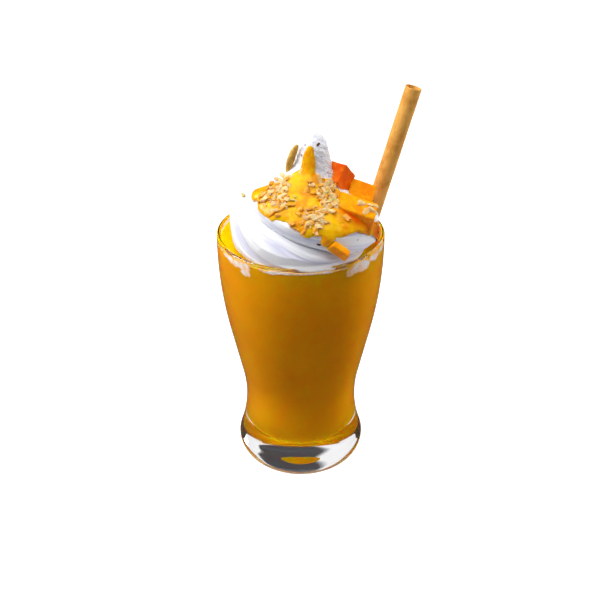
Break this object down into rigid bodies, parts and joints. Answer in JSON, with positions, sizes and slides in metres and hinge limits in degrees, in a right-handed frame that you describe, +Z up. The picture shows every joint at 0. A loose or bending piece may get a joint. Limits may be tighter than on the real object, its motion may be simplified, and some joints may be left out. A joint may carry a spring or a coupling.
{
  "type": "mango milkshake",
  "caption": "Footed tumbler of mango milkshake with a whipped-cream swirl, cut mango, a nut sliver and a paper straw.",
  "frame": {"origin": "centre of the tumbler's foot, on the table", "axes": "+Z up along the tumbler's axis; +X towards the side that the straw leans to; -Y towards the front, where the cream meets the glass"},
  "size_m": [0.0978, 0.082, 0.2005],
  "materials": {
    "clear_glass": "polished",
    "mango_drink": "wet",
    "cream": "satin",
    "mango_flesh": "wet",
    "straw_paper": "matt",
    "nut": "dry"
  },
  "bodies": {
    "root": {"glass": "clear_glass", "milkshake": "mango_drink", "whipped_cream": "cream", "straw": "straw_paper", "nut_sliver": "nut", "mango_cube_top": "mango_flesh", "mango_cube_back": "mango_flesh", "mango_cube_front": "mango_flesh", "mango_chip": "mango_flesh"}
  },
  "joints": []
}
